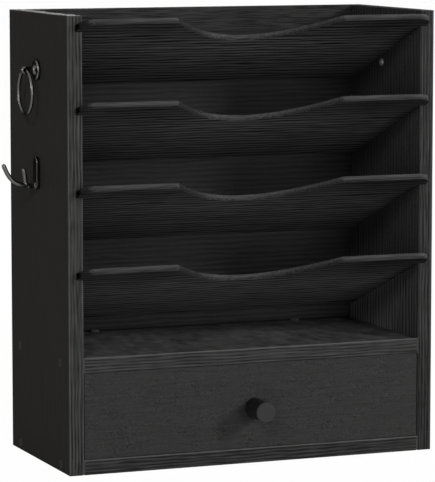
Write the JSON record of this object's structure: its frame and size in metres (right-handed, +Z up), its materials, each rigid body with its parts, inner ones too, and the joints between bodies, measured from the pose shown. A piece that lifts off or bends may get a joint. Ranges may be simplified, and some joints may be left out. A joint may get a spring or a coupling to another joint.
{
  "type": "desktop envelope sorter",
  "caption": "Tall open desktop sorter with sloping scooped shelves over a knobbed drawer, and a swinging ring and a double hook on each side.",
  "frame": {"origin": "middle of the case's underside, on the surface it stands on", "axes": "+X to the right seen from the front, +Y to the back, +Z up"},
  "size_m": [0.3742, 0.1693, 0.36],
  "materials": {
    "case_laminate": "satin black wood-grain laminate on 12 mm board",
    "front_laminate": "satin black wood-grain laminate, grain level",
    "shelf_board": "thin board with black wood-grain faces and sealed edges",
    "drawer_board": "matt black laminate",
    "dowel_wood": "plain beech",
    "zinc_steel": "zinc plated",
    "knob_black": "satin black",
    "black_metal": "polished black plating"
  },
  "bodies": {
    "case": {"left_side_panel": "case_laminate", "right_side_panel": "case_laminate", "back_panel": "case_laminate", "bottom_panel": "front_laminate", "drawer_top_board": "front_laminate", "board_fitting_1": "zinc_steel", "board_fitting_2": "zinc_steel", "board_fitting_pin_1": "zinc_steel", "board_fitting_pin_2": "zinc_steel", "left_panel_screw_1": "black_metal", "left_panel_screw_2": "black_metal", "left_panel_screw_3": "black_metal", "left_panel_screw_4": "black_metal", "left_back_dowel_1": "dowel_wood", "left_back_dowel_2": "dowel_wood", "left_back_dowel_3": "dowel_wood", "left_ring_post": "black_metal", "left_ring_post_screw": "zinc_steel", "left_double_hook": "black_metal", "left_double_hook_screw_1": "black_metal", "left_double_hook_screw_2": "black_metal", "right_panel_screw_1": "black_metal", "right_panel_screw_2": "black_metal", "right_panel_screw_3": "black_metal", "right_panel_screw_4": "black_metal", "right_back_dowel_1": "dowel_wood", "right_back_dowel_2": "dowel_wood", "right_back_dowel_3": "dowel_wood", "right_ring_post": "black_metal", "right_ring_post_screw": "zinc_steel", "right_double_hook": "black_metal", "right_double_hook_screw_1": "black_metal", "right_double_hook_screw_2": "black_metal"},
    "drawer": {"drawer_front": "front_laminate", "drawer_left_side": "drawer_board", "drawer_right_side": "drawer_board", "drawer_back": "drawer_board", "drawer_bottom": "drawer_board", "drawer_knob": "knob_black", "knob_screw": "zinc_steel", "drawer_front_dowel_1": "dowel_wood", "drawer_front_dowel_2": "dowel_wood", "drawer_front_dowel_3": "dowel_wood", "drawer_front_dowel_4": "dowel_wood", "drawer_back_screw_1": "zinc_steel", "drawer_back_screw_2": "zinc_steel", "drawer_back_screw_3": "zinc_steel", "drawer_back_screw_4": "zinc_steel"},
    "shelf_1": {"sloped_shelf_1": "shelf_board"},
    "shelf_2": {"sloped_shelf_2": "shelf_board"},
    "shelf_3": {"sloped_shelf_3": "shelf_board"},
    "shelf_4": {"sloped_shelf_4": "shelf_board"},
    "ring_left": {"left_ring": "black_metal"},
    "ring_right": {"right_ring": "black_metal"}
  },
  "joints": [
    {"name": "drawer_slide", "type": "slide", "parent": "case", "child": "drawer", "axis": [0, -1, 0], "range_m": [0, 0.11]},
    {"name": "shelf_slide_1", "type": "slide", "parent": "case", "child": "shelf_1", "axis": [0, -0.9361, 0.3518], "range_m": [0, 0.12]},
    {"name": "shelf_slide_2", "type": "slide", "parent": "case", "child": "shelf_2", "axis": [0, -0.9361, 0.3518], "range_m": [0, 0.12]},
    {"name": "shelf_slide_3", "type": "slide", "parent": "case", "child": "shelf_3", "axis": [0, -0.9361, 0.3518], "range_m": [0, 0.12]},
    {"name": "shelf_slide_4", "type": "slide", "parent": "case", "child": "shelf_4", "axis": [0, -0.9361, 0.3518], "range_m": [0, 0.12]},
    {"name": "left_ring_swing", "type": "hinge", "parent": "case", "child": "ring_left", "pos_m": [-0.1668, 0, 0.31455], "axis": [0, 1, 0], "range_deg": [-15, 195]},
    {"name": "right_ring_swing", "type": "hinge", "parent": "case", "child": "ring_right", "pos_m": [0.1668, 0, 0.31455], "axis": [0, -1, 0], "range_deg": [-15, 195]}
  ]
}
